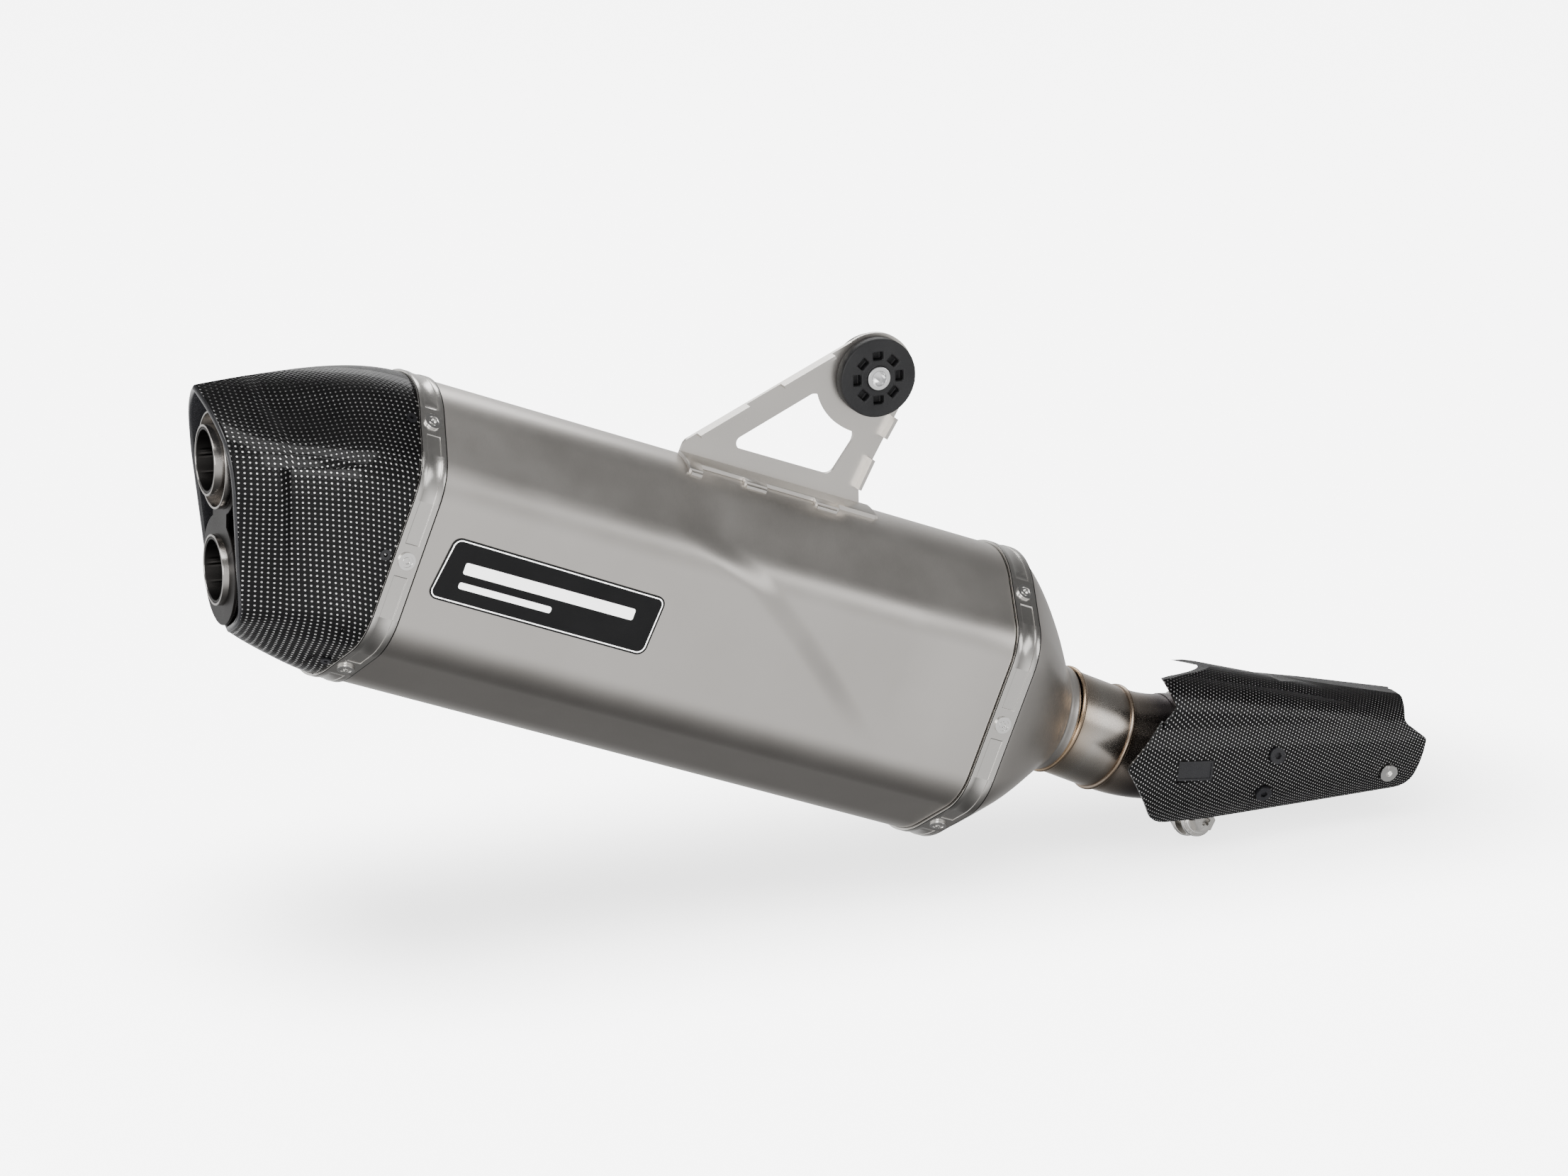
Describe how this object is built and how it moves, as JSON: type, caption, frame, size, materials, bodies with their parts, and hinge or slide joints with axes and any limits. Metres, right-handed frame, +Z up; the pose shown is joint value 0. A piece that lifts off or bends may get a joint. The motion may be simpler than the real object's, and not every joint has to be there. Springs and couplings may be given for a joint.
{
  "type": "motorcycle slip-on silencer",
  "caption": "Slip-on motorcycle silencer: rounded six-sided sleeve, carbon end cap with twin outlets, hanger with rubber bush, link pipe, clamp and heat shield.",
  "frame": {"origin": "centre of the inlet socket's mouth", "axes": "+X towards the front of the machine (the header pipe comes from there), +Y across to the wheel side, +Z up"},
  "size_m": [0.7577, 0.1458, 0.3468],
  "materials": {
    "titanium": "brushed titanium sheet, satin",
    "steel": "satin stainless steel",
    "bright": "polished stainless steel",
    "alloy": "satin aluminium",
    "carbon": "twill carbon fibre under semi-gloss lacquer",
    "black_steel": "black satin coating",
    "rubber": "matt rubber",
    "tinted": "heat-tinted titanium",
    "wool": "glass wool mat",
    "label": "plain dark film"
  },
  "bodies": {
    "silencer": {"sleeve_shell": "titanium", "rear_band": "titanium", "front_band": "titanium", "rear_band_rivets": "bright", "front_band_rivets": "bright", "rear_bulkhead": "steel", "front_baffle": "steel", "middle_baffle": "steel", "perforated_core": "steel", "wool_packing": "wool", "front_cone": "titanium", "cone_weld": "tinted", "link_stub": "tinted", "link_bend": "tinted", "link_weld": "tinted", "inlet_socket": "tinted", "end_cap": "carbon", "cap_rivets": "black_steel", "outlet_end_plate": "steel", "upper_collar": "steel", "lower_collar": "steel", "upper_outlet_tube": "steel", "lower_outlet_tube": "steel", "bracket_plate": "titanium", "bracket_saddle": "titanium", "bracket_welds": "titanium", "bush_rubber": "rubber", "bush_sleeve": "alloy", "heat_shield": "carbon", "shield_strap": "titanium", "shield_nuts": "steel", "shield_screws": "black_steel", "shield_front_screw": "bright", "shield_front_spacer": "steel", "side_label": "label", "shield_badge": "black_steel"},
    "clamp": {"clamp_band": "steel", "clamp_barrel": "steel"},
    "washer": {"clamp_washer": "bright"},
    "bolt": {"clamp_bolt": "steel"},
    "upper_insert": {"upper_damper_insert": "steel"},
    "lower_insert": {"lower_damper_insert": "steel"}
  },
  "joints": [
    {"name": "clamp_turn", "type": "hinge", "parent": "silencer", "child": "clamp", "pos_m": [0, 0, 0], "axis": [0.9945, 0, -0.1045], "range_deg": [0, 110]},
    {"name": "bolt_travel", "type": "slide", "parent": "clamp", "child": "washer", "axis": [0.0306, -0.9563, 0.2908], "range_m": [0, 0.0025]},
    {"name": "bolt_turn", "type": "hinge", "parent": "washer", "child": "bolt", "pos_m": [-0.03206, -0.02224, -0.03711], "axis": [0.0306, -0.9563, 0.2908], "range_deg": [0, 720]},
    {"name": "upper_insert_slide", "type": "slide", "parent": "silencer", "child": "upper_insert", "axis": [-0.999, 0, 0.0436], "range_m": [0, 0.075]},
    {"name": "lower_insert_slide", "type": "slide", "parent": "silencer", "child": "lower_insert", "axis": [-0.999, 0, 0.0436], "range_m": [0, 0.075]}
  ],
  "couplings": [
    {"joint": "bolt_turn", "follows": "bolt_travel", "rad_per_m": 5026.5}
  ]
}
